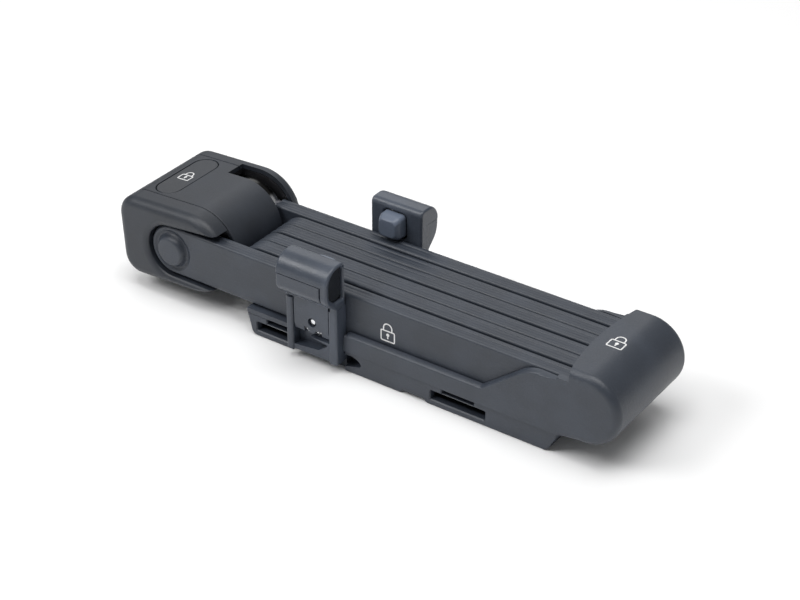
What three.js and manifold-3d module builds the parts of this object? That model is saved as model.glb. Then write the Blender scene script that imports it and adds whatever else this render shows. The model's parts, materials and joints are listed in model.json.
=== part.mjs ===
// Six-link folding lock stored in its carrying bracket. Millimetres, +X along the links, +Z up.
// The origin is the middle of the bracket foot's underside.
import * as THREE from 'three';
import { mergeVertices } from 'three/addons/utils/BufferGeometryUtils.js';
import Module from 'manifold-3d';

const wasm = await Module();
wasm.setup();

// ---- links ----
const LINKS = 6;
const PITCH = 8.4; // from one link to the next, across the stack
const LINK_THICK = 7.6; // over the plastic cover
const LINK_HEIGHT = 24;
const BAR_THICK = 5;
const BAR_HEIGHT = 19.6;
const LINK_Z = 25.5; // height of the link centre line above the foot
const RIGHT_X = 90; // right-hand rivets
const LEFT_X = -78; // left-hand rivets of the inner links
const HEAD_X = -122; // rivet that holds the lock head
const GAP = 0.3;

// ---- rivets ----
const SHANK_R = 3.6;
const RIVET_HEAD_R = 6;
const RIVET_HEAD_T = 0.9;
const WASHER_R = 7.2;
const DOME = 2.3; // moulded bulge over the head rivet
const DOME_R = 10;
const DOME_TOP_R = 6;

// ---- lock head, in its own frame: u along, w up, from the head rivet ----
const HEAD_TILT = THREE.MathUtils.degToRad(2.6);
const HEAD_LEFT = -29;
const HEAD_TOP = 21.5;
const HEAD_LOW = -17.7;
const NOSE_R = (HEAD_TOP - HEAD_LOW) / 2;
const NOSE_U = 11.5;
const NOSE_W = (HEAD_TOP + HEAD_LOW) / 2;
const HEAD_CORNER = 9.5;
const CHEEK_Y = [-27.2, -16.7]; // near cheek, outer face to seam
const BARREL_Y = [-16.4, 23.2];
const FAR_Y = [23.5, 31.2];
const SLOT_Y = [16.7, 25.7]; // takes the tongue of the last link
const SLOT_U = 1.5; // the slot is open above from here on
const POCKET_ROCK = THREE.MathUtils.degToRad(3.1); // flare that lets the head rock
const COVER_WALL = 2.2;

// ---- tongue of the last link ----
const TONGUE_X = -113;
const TONGUE_Z = 26.5;
const TONGUE_R = 16.6;
const TONGUE_HOLE_R = 5.2;
const TONGUE_COVER_X = -96.5; // where the plastic cover starts

// ---- key cover, cylinder and bolt ----
const KEY_U = -12.4;
const KEY_Y = 3.4;
const KEY_COVER_W = 12.2;
const KEY_COVER_L = 36.4;
const KEY_COVER_T = 1.6;
const KEY_RECESS = 2.2;
const CYLINDER_R = 5.8;
const PLUG_R = 3.9;
const CYLINDER_LOW = -9;
const BOLT_R = 3.6;
const BOLT_TRAVEL = 8;

// ---- bracket ----
const SIDE_GAP = 0.6; // stack to side wall
const STACK_HALF = ((LINKS - 1) * PITCH + LINK_THICK) / 2;
const WALL_IN = STACK_HALF + SIDE_GAP;
const WALL_OUT = WALL_IN + 2.9;
const FLOOR = [10.6, 12.85];
const TRAY_LEFT = -78;
const LIP_Z = 19.4;
const NOSE_CENTRE = [91.3, 26.75];
const NOSE_OUT = 16.3;
const NOSE_IN = 13.9;
const NOSE_MOUTH = 84.6;
const MOUTH_BOW = 3.4;
const FOOT_X = [TRAY_LEFT, 80];
const FOOT_HALF = 27.4;
const STRAPS = [-59.4, 32.2]; // centres of the two strap slots
const STRAP_SLOT = [27, 4.4];
const BUCKLE_SLOT = [15.8, 2.4];

// ---- catches ----
const CATCH_NEAR_X = -39.2;
const CATCH_FAR_X = -35.4;
const POST_WIDE = 27;
const FIN = 4;
const POST_FRONT = 7.4; // outward from the stack's side
const POST_INNER = 25.1;
const PIVOT_OUT = 4.3;
const PIVOT_Z = 16.2;
const PIVOT_R = 0.8;
const KNUCKLE_R = 1.7;
const LEVER_LOW = 17.9;
const SILL_LOW = 12.9;
const LEG_LOW = 4.3;
const STUD_R = 1.5;
const STUD_Z = 21.2;
const CATCH_TOP = 53.5;
const CATCH_OUT = 13.9;
const PAD_WIDE = 10.6;
const PAD_Z = [38.3, 49.5];
const PAD_IN = 5.6; // over the links
const SHELL = 1.8;
const SEAM_Z = 45.6;
const SHELL_LOW = 33;
const SHELL_HEEL = 38.5; // where the shell turns in towards the post

const STEPS = 8; // chords in a quarter turn of a large arc

// ---- materials ----
const finish = (color, roughness, metalness) =>
  new THREE.MeshStandardMaterial({ color, roughness, metalness });
const softPlastic = finish(0x3c3f45, 0.7, 0);
const bracketPlastic = finish(0x44484e, 0.62, 0);
const headPlastic = finish(0x3f4248, 0.6, 0);
const chrome = finish(0xc8ccd0, 0.15, 1);
const hardSteel = finish(0x8f9397, 0.35, 1);
const brass = finish(0xb99a52, 0.35, 1);
const springSteel = finish(0xa6a9ad, 0.3, 1);

// ---- solids ----
function toSolid(geometry) {
  const bare = geometry.index ? geometry.clone() : geometry;
  bare.deleteAttribute('normal');
  bare.deleteAttribute('uv');
  const merged = mergeVertices(bare, 1e-4);
  return new wasm.Manifold(new wasm.Mesh({
    numProp: 3,
    vertProperties: new Float32Array(merged.attributes.position.array),
    triVerts: new Uint32Array(merged.index.array),
  }));
}

function toGeometry(solid) {
  const mesh = solid.getMesh();
  const geometry = new THREE.BufferGeometry();
  geometry.setAttribute('position', new THREE.BufferAttribute(mesh.vertProperties, 3));
  geometry.setIndex(new THREE.BufferAttribute(mesh.triVerts, 1));
  geometry.computeVertexNormals();
  return geometry;
}

const cut = (solid, ...tools) => tools.reduce((left, tool) => left.subtract(tool), solid);
const join = (solid, ...others) => others.reduce((all, other) => all.add(other), solid);

function piece(name, solid, material) {
  const mesh = new THREE.Mesh(toGeometry(solid), material);
  mesh.name = name;
  return mesh;
}

// A closed outline from corner points [a, b, radius]; a radius rounds that corner.
function outline(corners) {
  const shape = new THREE.Shape();
  const count = corners.length;
  corners.forEach(([a, b, radius = 0], i) => {
    const here = new THREE.Vector2(a, b);
    const before = new THREE.Vector2(...corners[(i + count - 1) % count]);
    const after = new THREE.Vector2(...corners[(i + 1) % count]);
    const into = before.sub(here).normalize();
    const out = after.sub(here).normalize();
    const half = Math.acos(THREE.MathUtils.clamp(into.dot(out), -1, 1)) / 2;
    const back = radius ? radius / Math.tan(half) : 0;
    const start = here.clone().addScaledVector(into, back);
    if (i === 0) shape.moveTo(start.x, start.y);
    else shape.lineTo(start.x, start.y);
    if (!radius) return;
    const centre = into.add(out).normalize().multiplyScalar(radius / Math.sin(half)).add(here);
    const end = here.clone().addScaledVector(out, back);
    const from = Math.atan2(start.y - centre.y, start.x - centre.x);
    const turn = Math.atan2(end.y - centre.y, end.x - centre.x) - from;
    const sweep = Math.atan2(Math.sin(turn), Math.cos(turn));
    const steps = Math.max(2, Math.round(Math.abs(sweep) / (Math.PI / 2) * STEPS * 0.6));
    for (let k = 1; k <= steps; k += 1) {
      const at = from + sweep * k / steps;
      shape.lineTo(centre.x + radius * Math.cos(at), centre.y + radius * Math.sin(at));
    }
  });
  return shape;
}

function circle(a, b, radius, steps = 4 * STEPS) {
  const shape = new THREE.Shape();
  for (let k = 0; k < steps; k += 1) {
    const at = 2 * Math.PI * k / steps;
    const point = [a + radius * Math.cos(at), b + radius * Math.sin(at)];
    if (k === 0) shape.moveTo(...point);
    else shape.lineTo(...point);
  }
  return shape;
}

// Outline with round ends of the given half height, from one centre to the other.
function slotShape(a0, a1, b, half, steps = 6) {
  const shape = new THREE.Shape();
  for (let k = 0; k <= 2 * steps; k += 1) {
    const at = Math.PI / 2 + Math.PI * k / (2 * steps);
    const point = [a0 + half * Math.cos(at), b + half * Math.sin(at)];
    if (k === 0) shape.moveTo(...point);
    else shape.lineTo(...point);
  }
  for (let k = 0; k <= 2 * steps; k += 1) {
    const at = -Math.PI / 2 + Math.PI * k / (2 * steps);
    shape.lineTo(a1 + half * Math.cos(at), b + half * Math.sin(at));
  }
  return shape;
}

function extrude(shape, depth, edge = 0, edgeSteps = 3) {
  return new THREE.ExtrudeGeometry(shape, {
    depth: depth - 2 * edge,
    bevelEnabled: edge > 0,
    bevelThickness: edge,
    bevelSize: edge,
    bevelOffset: -edge,
    bevelSegments: edgeSteps,
    curveSegments: STEPS,
  }).translate(0, 0, edge);
}

// Outline in X and Z, extruded along Y.
function alongY(shape, [y0, y1], edge = 0, edgeSteps = 3) {
  return toSolid(extrude(shape, y1 - y0, edge, edgeSteps).rotateX(Math.PI / 2).translate(0, y1, 0));
}

// Outline in Y and Z, extruded along X.
function alongX(shape, [x0, x1], edge = 0, edgeSteps = 2) {
  const turn = new THREE.Matrix4().makeBasis(
    new THREE.Vector3(0, 1, 0), new THREE.Vector3(0, 0, 1), new THREE.Vector3(1, 0, 0));
  return toSolid(extrude(shape, x1 - x0, edge, edgeSteps).applyMatrix4(turn).translate(x0, 0, 0));
}

// Outline in X and Y, extruded along Z.
function alongZ(shape, [z0, z1], edge = 0) {
  return toSolid(extrude(shape, z1 - z0, edge, 2).translate(0, 0, z0));
}

function box([x0, x1], [y0, y1], [z0, z1]) {
  const geometry = new THREE.BoxGeometry(x1 - x0, y1 - y0, z1 - z0);
  return toSolid(geometry.translate((x0 + x1) / 2, (y0 + y1) / 2, (z0 + z1) / 2));
}

// Turned part about a line along Y, Z or X from a profile of [radius, height].
function turned(profile, axis, at, sides = 16) {
  const points = profile.map(([radius, height]) => new THREE.Vector2(radius, height));
  const geometry = new THREE.LatheGeometry(points, sides);
  if (axis === 'z') geometry.rotateX(Math.PI / 2);
  if (axis === 'x') geometry.rotateZ(-Math.PI / 2);
  return toSolid(geometry.translate(...at));
}

const rod = (radius, from, to, axis, at, sides) =>
  turned([[0, from], [radius, from], [radius, to], [0, to]], axis, at, sides);

// ---- links ----
const layer = (n) => {
  const low = -STACK_HALF + (n - 1) * PITCH;
  return [low, low + LINK_THICK];
};
const barLayer = (n) => layer(n).map((y, i) => y + (i ? -1 : 1) * (LINK_THICK - BAR_THICK) / 2);
const leftEnd = (n) => (n === 1 ? HEAD_X : n === LINKS ? TONGUE_X : LEFT_X);

// Joint j holds link j to link j + 1; odd joints are on the right.
const jointX = (j) => (j % 2 ? RIGHT_X : LEFT_X);

function linkBar(n) {
  const half = BAR_HEIGHT / 2;
  let solid = alongY(slotShape(n === LINKS ? LEFT_X : leftEnd(n), RIGHT_X, LINK_Z, half), barLayer(n));
  if (n === LINKS) {
    const disc = alongY(circle(TONGUE_X, TONGUE_Z, TONGUE_R), barLayer(n), 0.6, 1);
    const neck = box([TONGUE_X, LEFT_X], barLayer(n), [LINK_Z - half, LINK_Z + half]);
    const hole = rod(TONGUE_HOLE_R, -50, 50, 'y', [TONGUE_X, 0, TONGUE_Z]);
    solid = cut(join(solid, disc, neck), hole);
  } else {
    solid = cut(solid, rod(SHANK_R + GAP, -50, 50, 'y', [leftEnd(n), 0, LINK_Z]));
  }
  return cut(solid, rod(SHANK_R + GAP, -50, 50, 'y', [RIGHT_X, 0, LINK_Z]));
}

function linkCover(n) {
  const half = BAR_HEIGHT / 2 + GAP;
  const inner = barLayer(n).map((y, i) => y + (i ? GAP : -GAP));
  let solid = alongY(slotShape(leftEnd(n), RIGHT_X, LINK_Z, LINK_HEIGHT / 2), layer(n), 1, 1);
  if (n === 1) {
    const face = layer(1)[0];
    const dome = turned([
      [0, face - DOME], [DOME_TOP_R, face - DOME], [(DOME_TOP_R + DOME_R) / 2, face - DOME * 0.7],
      [DOME_R, face + 0.2], [0, face + 0.2],
    ], 'y', [HEAD_X, 0, LINK_Z], 20);
    solid = join(solid, dome);
    const pocket = rod(RIVET_HEAD_R + GAP, inner[0] - RIVET_HEAD_T - GAP, inner[1], 'y', [HEAD_X, 0, LINK_Z]);
    solid = cut(solid, pocket, rod(WASHER_R + GAP, inner[1] - 1, 50, 'y', [HEAD_X, 0, LINK_Z]));
  }
  solid = cut(solid, alongY(slotShape(leftEnd(n), RIGHT_X, LINK_Z, half), inner));
  if (n === LINKS) {
    solid = cut(solid, box([-200, TONGUE_COVER_X], [-60, 60], [-20, 80]));
  }
  const holes = [n - 1, n].filter((j) => j >= 1 && j < LINKS);
  holes.forEach((j) => {
    solid = cut(solid, rod(WASHER_R + GAP, layer(n)[0] - 1, layer(n)[1] + 1, 'y', [jointX(j), 0, LINK_Z]));
  });
  return solid;
}

// Shouldered rivet through two neighbouring bars, with a flush head in each cover.
function rivet(j) {
  const from = barLayer(j)[0];
  const to = barLayer(j + 1)[1];
  return turned([
    [0, from - RIVET_HEAD_T], [RIVET_HEAD_R, from - RIVET_HEAD_T], [RIVET_HEAD_R, from - 0.05],
    [SHANK_R, from - 0.05], [SHANK_R, to + 0.05], [RIVET_HEAD_R, to + 0.05],
    [RIVET_HEAD_R, to + RIVET_HEAD_T], [0, to + RIVET_HEAD_T],
  ], 'y', [jointX(j), 0, LINK_Z]);
}

function ring(outer, inner, [y0, y1], x, z) {
  return turned([[inner, y0], [outer, y0], [outer, y1], [inner, y1], [inner, y0]], 'y', [x, 0, z]);
}

function linkPieces() {
  const group = new THREE.Group();
  for (let n = 1; n <= LINKS; n += 1) {
    group.add(piece(`link_${n}_bar`, linkBar(n), n === LINKS ? chrome : hardSteel));
    group.add(piece(`link_${n}_cover`, linkCover(n), softPlastic));
  }
  for (let j = 1; j < LINKS; j += 1) {
    const between = [barLayer(j)[1] + GAP, barLayer(j + 1)[0] - GAP];
    group.add(piece(`rivet_${j}${j + 1}`, rivet(j), hardSteel));
    group.add(piece(`washer_${j}${j + 1}`, ring(WASHER_R, SHANK_R + GAP, between, jointX(j), LINK_Z), hardSteel));
  }
  return group;
}

// ---- lock head ----
function headShape(inset = 0) {
  const shape = new THREE.Shape();
  const left = HEAD_LEFT + inset;
  const corner = HEAD_CORNER - inset;
  const radius = NOSE_R - inset;
  const low = HEAD_LOW + inset;
  const top = HEAD_TOP - inset;
  const arcs = [
    [left + corner, low + corner, corner, -Math.PI, -Math.PI / 2],
    [NOSE_U, NOSE_W, radius, -Math.PI / 2, Math.PI / 2],
    [left + corner, top - corner, corner, Math.PI / 2, Math.PI],
  ];
  arcs.forEach(([u, w, r, from, to], i) => {
    const steps = Math.round((to - from) / (Math.PI / 2) * STEPS);
    for (let k = 0; k <= steps; k += 1) {
      const at = from + (to - from) * k / steps;
      const point = [u + r * Math.cos(at), w + r * Math.sin(at)];
      if (i === 0 && k === 0) shape.moveTo(...point);
      else shape.lineTo(...point);
    }
  });
  return shape;
}

// The tongue's disc seat, opening upwards and forwards.
function tongueSlot([y0, y1]) {
  const seat = alongY(circle(TONGUE_X - HEAD_X, TONGUE_Z - LINK_Z, TONGUE_R + 1.2), [y0, y1]);
  return join(seat, box([SLOT_U, 60], [y0, y1], [-40, 40]));
}

function nearCheek() {
  const half = LINK_HEIGHT / 2 + 0.8;
  const reach = 60;
  const rise = half + reach * Math.tan(POCKET_ROCK);
  const flare = new THREE.Shape();
  flare.moveTo(0, -half);
  flare.lineTo(reach, -rise);
  flare.lineTo(reach, rise);
  flare.lineTo(0, half);
  const through = [CHEEK_Y[0] - 10, CHEEK_Y[1] + 1];
  const pocket = join(alongY(circle(0, 0, half), through), alongY(flare, through));
  const pillow = alongY(headShape(), [CHEEK_Y[0], CHEEK_Y[1] + 8], 4, 3);
  const trim = box([-60, 60], [CHEEK_Y[1], CHEEK_Y[1] + 20], [-60, 60]);
  return cut(pillow, trim, pocket);
}

function barrelCover() {
  const shell = cut(
    alongY(headShape(), BARREL_Y),
    alongY(headShape(COVER_WALL), [BARREL_Y[0] - 1, BARREL_Y[1] + 1]));
  const recess = alongZ(keyCoverShape(GAP), [HEAD_TOP - KEY_RECESS - 0.5, HEAD_TOP + 1]);
  return cut(shell, recess, tongueSlot([SLOT_Y[0], BARREL_Y[1] + 1]));
}

function farCheek() {
  const pillow = alongY(headShape(), [FAR_Y[0] - 8, FAR_Y[1]], 3.4, 3);
  const trim = box([-60, 60], [FAR_Y[0] - 20, FAR_Y[0]], [-60, 60]);
  const inner = alongY(headShape(COVER_WALL), [FAR_Y[0] - 1, FAR_Y[1] - COVER_WALL]);
  return cut(pillow, trim, inner, tongueSlot([FAR_Y[0] - 1, SLOT_Y[1]]));
}

function keyCoverShape(grow = 0) {
  const half = KEY_COVER_W / 2 + grow;
  const span = KEY_COVER_L / 2 + grow - half;
  const shape = new THREE.Shape();
  for (let k = 0; k <= 2 * STEPS; k += 1) {
    const at = Math.PI * k / (2 * STEPS);
    const point = [KEY_U + half * Math.cos(at), KEY_Y + span + half * Math.sin(at)];
    if (k === 0) shape.moveTo(...point);
    else shape.lineTo(...point);
  }
  for (let k = 0; k <= 2 * STEPS; k += 1) {
    const at = Math.PI + Math.PI * k / (2 * STEPS);
    shape.lineTo(KEY_U + half * Math.cos(at), KEY_Y - span + half * Math.sin(at));
  }
  return shape;
}

// Flap that bends up about the top edge of its far end.
const keyCover = () => alongZ(keyCoverShape(), [HEAD_TOP - KEY_COVER_T - 0.1, HEAD_TOP - 0.1], 0.2);

// Hardened block inside the covers: near jaw, bridge behind the tongue, and far jaw.
const CORE_Y = [BARREL_Y[0] + GAP, FAR_Y[1] - COVER_WALL - GAP];

function headCore() {
  const block = alongY(headShape(COVER_WALL + GAP), CORE_Y);
  const cylinder = rod(CYLINDER_R + GAP, CYLINDER_LOW - 3.4, 40, 'z', [KEY_U, KEY_Y, 0], 24);
  const opening = alongZ(keyCoverShape(GAP), [HEAD_TOP - KEY_RECESS - 0.8, 40]);
  const boltWay = rod(BOLT_R + GAP, BOLT_BACK - 1, SLOT_Y[0] + 1, 'y', boltAt, 16);
  const sweep = [BOLT_BACK - 3.4, BOLT_BACK + BOLT_ARM + BOLT_TRAVEL + 0.6];
  const camRoom = box([KEY_U - 8, boltAt[0] + 5], sweep, [CYLINDER_LOW - 3.4, BOLT_FOOT_TOP + GAP]);
  const armRoom = box([boltAt[0] - 5, boltAt[0] + 5], sweep, [BOLT_FOOT_TOP - 1, boltAt[2] + 4.4]);
  const boltEnd = rod(BOLT_R + GAP, SLOT_Y[1] - 1, 40, 'y', boltAt, 16);
  const rivetHole = rod(SHANK_R + GAP, -40, CORE_Y[0] + 6, 'y', [0, 0, 0]);
  const rivetRoom = rod(RIVET_HEAD_R + GAP, CORE_Y[0] + 4, CORE_Y[0] + 6.6, 'y', [0, 0, 0]);
  return cut(block, tongueSlot(SLOT_Y), cylinder, opening, boltWay, camRoom, armRoom, boltEnd, rivetHole, rivetRoom);
}

// ---- cylinder and bolt ----
const boltAt = [TONGUE_X - HEAD_X, 0, TONGUE_Z - LINK_Z];
const BOLT_BACK = -2;
const BOLT_ARM = 4;
const BOLT_FOOT_TOP = -5.4;
const CAM_Z = [CYLINDER_LOW - 2.6, CYLINDER_LOW - 0.4];

function lockCylinder() {
  const top = HEAD_TOP - KEY_RECESS - 0.9;
  const barrel = rod(CYLINDER_R, CYLINDER_LOW, top, 'z', [KEY_U, KEY_Y, 0], 24);
  return cut(barrel, rod(PLUG_R + 0.15, CYLINDER_LOW - 1, top + 1, 'z', [KEY_U, KEY_Y, 0], 24));
}

function keyPlug() {
  const top = HEAD_TOP - KEY_RECESS - 0.9;
  const plug = rod(PLUG_R, CYLINDER_LOW - 0.4, top, 'z', [KEY_U, KEY_Y, 0], 24);
  const keyway = box([KEY_U - 0.8, KEY_U + 0.8], [KEY_Y - 2.9, KEY_Y + 2.9], [top - 12, top + 1]);
  return cut(plug, keyway);
}

// Finger under the plug: it points back at rest and sweeps the bolt's foot forward.
function driveCam() {
  const hub = rod(3.4, CAM_Z[0], CAM_Z[1] - GAP, 'z', [KEY_U, KEY_Y, 0], 20);
  const finger = box([KEY_U + 1, KEY_U + 7], [KEY_Y - 1.2, KEY_Y + 1.2], [CAM_Z[0], CAM_Z[1] - GAP]);
  return join(hub, finger).translate([-KEY_U, -KEY_Y, 0]).rotate([0, 0, -60])
    .translate([KEY_U, KEY_Y, 0]);
}

function lockBolt() {
  const pin = rod(BOLT_R, BOLT_BACK, SLOT_Y[0] - GAP, 'y', boltAt, 16);
  const arm = box([boltAt[0] - 3.2, boltAt[0] + 3.2], [BOLT_BACK, BOLT_BACK + BOLT_ARM],
    [CAM_Z[0], boltAt[2]]);
  const foot = box([KEY_U + 7.5, boltAt[0] + 3.2], [BOLT_BACK, BOLT_BACK + BOLT_ARM],
    [CAM_Z[0], BOLT_FOOT_TOP]);
  return join(pin, arm, foot);
}

function cylinderPin() {
  return rod(1.2, -25.8, KEY_U - CYLINDER_R - 0.8, 'x', [0, KEY_Y, 8], 16);
}

function headRivet() {
  const from = barLayer(1)[0];
  const seat = CORE_Y[0] + 4;
  return turned([
    [0, from - RIVET_HEAD_T], [RIVET_HEAD_R, from - RIVET_HEAD_T], [RIVET_HEAD_R, from - 0.05],
    [SHANK_R, from - 0.05], [SHANK_R, seat + 0.3], [RIVET_HEAD_R, seat + 0.3],
    [RIVET_HEAD_R, seat + 2.2], [0, seat + 2.2],
  ], 'y', [HEAD_X, 0, LINK_Z]);
}

function headPieces() {
  const group = new THREE.Group();
  group.position.set(HEAD_X, 0, LINK_Z);
  group.rotation.y = -HEAD_TILT;
  group.add(piece('head_core', cut(headCore(), rod(1.5, -40, KEY_U, 'x', [0, KEY_Y, 8], 16)), hardSteel));
  group.add(piece('head_near_cheek', nearCheek(), headPlastic));
  group.add(piece('head_barrel_cover', barrelCover(), headPlastic));
  group.add(piece('head_far_cheek', farCheek(), headPlastic));
  group.add(piece('lock_cylinder', lockCylinder(), brass));
  group.add(piece('cylinder_pin', cylinderPin(), hardSteel));
  group.add(piece('key_plug', keyPlug(), brass));
  group.add(piece('drive_cam', driveCam(), hardSteel));
  group.add(piece('lock_bolt', lockBolt(), chrome));
  group.add(piece('key_cover', keyCover(), softPlastic));
  return group;
}

// ---- bracket ----
// Half-moon nose outline, grown or shrunk by the radius given.
function noseShape(radius, left, low) {
  const [x, z] = NOSE_CENTRE;
  const shape = new THREE.Shape();
  shape.moveTo(left, low);
  for (let k = 0; k <= 2 * STEPS; k += 1) {
    const at = -Math.PI / 2 + Math.PI * k / (2 * STEPS);
    shape.lineTo(x + radius * Math.cos(at), z + radius * Math.sin(at));
  }
  shape.lineTo(left, z + radius);
  return shape;
}

// Side walls: a low lip, a ramp, and an arch that runs into the nose.
function wallShape() {
  const [x] = NOSE_CENTRE;
  const top = LINK_Z + LINK_HEIGHT / 2;
  return outline([
    [TRAY_LEFT, FLOOR[0]], [x - 2, FLOOR[0]], [x - 2, top - 0.4], [66, top - 0.4, 16],
    [43.5, LIP_Z], [-24.8, LIP_Z, 2], [-25.2, FLOOR[1], 0], [TRAY_LEFT, FLOOR[1]],
  ]);
}

function bracketBody() {
  const across = [-WALL_OUT, WALL_OUT];
  const nose = alongY(noseShape(NOSE_OUT, NOSE_MOUTH - MOUTH_BOW, NOSE_CENTRE[1] - NOSE_OUT), across, 2.4, 3);
  const walls = alongY(wallShape(), across.map((y) => y * 0.996));
  const inside = alongY(noseShape(NOSE_IN, TRAY_LEFT - 5, NOSE_CENTRE[1] - NOSE_IN), [-WALL_IN, WALL_IN]);
  const mouth = alongZ(mouthShape(), [LINK_Z + LINK_HEIGHT / 2, 60]);
  const screws = footScrewAt.map(([x, y]) => rod(1.7, -1, 20, 'z', [x, y, 0], 16));
  const sinks = footScrewAt.map(([x, y]) => rod(3.3, FLOOR[1] - 1.2, 20, 'z', [x, y, 0], 20));
  return cut(join(nose, walls), inside, mouth, ...screws, ...sinks, ...posts(POST_INNER + GAP));
}

// The mouth of the nose bows towards the links in the middle of the stack.
function mouthShape() {
  const shape = new THREE.Shape();
  shape.moveTo(-120, -60);
  for (let k = 0; k <= STEPS; k += 1) {
    const y = THREE.MathUtils.lerp(-WALL_OUT, WALL_OUT, k / STEPS);
    const bow = MOUTH_BOW * (1 - (y / WALL_OUT) ** 2);
    shape.lineTo(NOSE_MOUTH - bow, k === 0 ? -60 : k === STEPS ? 60 : y);
  }
  shape.lineTo(-120, 60);
  return shape;
}

const footScrewAt = [-41.6, 13.6].flatMap((x) => [-14, 14].map((y) => [x, y]));

function mountingFoot() {
  const [left, right] = FOOT_X;
  const shape = outline([
    [left, FLOOR[0] - GAP], [left + 2.6, 0, 2.4], [3.6, 0, 1], [4.6, 1.4, 1], [15.8, 1.4, 1],
    [16.8, 0, 1], [right - 3.6, 0, 2.4], [right + 0.6, FLOOR[0] - GAP],
  ]);
  let solid = alongY(shape, [-FOOT_HALF, FOOT_HALF]);
  STRAPS.forEach((x) => {
    const reach = [-FOOT_HALF - 1, FOOT_HALF + 1];
    const [wide, tall] = STRAP_SLOT;
    solid = cut(solid, box([x - wide / 2, x + wide / 2], reach, [2.8, 2.8 + tall]));
    const [small, thin] = BUCKLE_SLOT;
    solid = cut(solid, box([x - small / 2, x + small / 2], reach, [7.7, 7.7 + thin]));
  });
  const holes = footScrewAt.map(([x, y]) => rod(1.25, 1.6, 20, 'z', [x, y, 0], 16));
  return cut(solid, ...holes, ...posts(POST_INNER - GAP));
}

function footScrew(x, y) {
  const top = FLOOR[1] - 0.15;
  return turned([
    [0, 3], [0.95, 3], [0.95, top - 0.7], [3, top - 0.7], [3, top], [0, top],
  ], 'z', [x, y, 0], 18);
}

// ---- catches, drawn for the near side: y is measured from the stack's side, negative outwards ----
function catchShape(inset = 0) {
  const top = CATCH_TOP - inset;
  const out = -CATCH_OUT + inset;
  return outline([
    [-SIDE_GAP - inset, LIP_Z], [-SIDE_GAP - inset, top, 2.2 - inset * 0.6], [out, top, 7.6 - inset * 0.6],
    [out, SHELL_HEEL + inset, 5], [-POST_FRONT + inset, SHELL_LOW - 0.6 + inset], [-POST_FRONT + inset, LIP_Z],
  ]);
}

const half = POST_WIDE / 2;
const finHalf = half - FIN;

// Space taken by the posts, which the tray and the foot leave open.
function posts(inner) {
  return [[CATCH_NEAR_X, -1], [CATCH_FAR_X, 1]].map(([x, side]) => {
    const reach = [side * inner, side * (WALL_OUT + 1)].sort((a, b) => a - b);
    return box([x - half - GAP, x + half + GAP], reach, [-1, 60]);
  });
}

// Lower edge of the lever's plate with its small V tab, grown for the notch in the sill.
function leverFront(grow = 0) {
  const low = LEVER_LOW - grow;
  const side = finHalf - (grow ? 0 : GAP);
  const shape = new THREE.Shape();
  shape.moveTo(-side, low);
  shape.lineTo(-2.6 - grow, low);
  shape.lineTo(-0.9, low - 2.2);
  shape.lineTo(0.9, low - 2.2);
  shape.lineTo(2.6 + grow, low);
  shape.lineTo(side, low);
  shape.lineTo(side, SHELL_LOW + 1.5);
  shape.lineTo(-side, SHELL_LOW + 1.5);
  return shape;
}

function catchPost() {
  const head = alongX(catchShape(), [-half, half], 0.5);
  const inside = cut(
    alongX(catchShape(SHELL), [-half + SHELL, half - 3]),
    box([-40, 40], [-40, 5], [0, SHELL_LOW - 2]));
  const open = box([-half + SHELL, half - 3], [-40, -POST_FRONT + 1.6], [SHELL_LOW - 1.6, SEAM_Z]);
  const slit = box([-half + SHELL, half - 3], [-40, -SIDE_GAP - SHELL], [SHELL_LOW - 2.1, SEAM_Z - 3]);
  const well = box([-finHalf, finHalf], [-PIVOT_OUT - 2.4, -SIDE_GAP - SHELL], [PIVOT_Z - 2.4, SHELL_LOW]);
  const front = alongY(leverFront(0.9), [-POST_FRONT - 1, -SIDE_GAP - SHELL]);
  const window_ = box([-PAD_WIDE / 2 - 0.9, PAD_WIDE / 2 + 0.9], [-5, 1], [PAD_Z[0] - 1, PAD_Z[1] + 1.5]);
  const recess = alongX(catchShape(2.2), [half - 1.4, half + 1]);
  const legs = [[-half, -finHalf], [finHalf, half]].map((reach) =>
    box(reach, [-POST_FRONT, -SIDE_GAP], [LEG_LOW, LIP_Z + 1]));
  const middle = box([-half, half], [-POST_FRONT, -SIDE_GAP], [SILL_LOW, LIP_Z + 1]);
  const scoop = box([-finHalf, finHalf], [-POST_FRONT - 1, -SIDE_GAP - SHELL], [-1, SILL_LOW]);
  const pinWay = rod(PIVOT_R + 0.1, -half + 1, half - 1, 'x', [0, -PIVOT_OUT, PIVOT_Z]);
  const footRoom = box([-40, 40], [STACK_HALF - POST_INNER, 10], [-1, FLOOR[0] - GAP]);
  const screwWay = rod(STUD_R + 0.1, -3, 1, 'y', [0, 0, STUD_Z]);
  return cut(join(head, middle, ...legs), inside, open, slit, well, front, scoop, window_, recess,
    pinWay, footRoom, screwWay);
}

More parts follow.
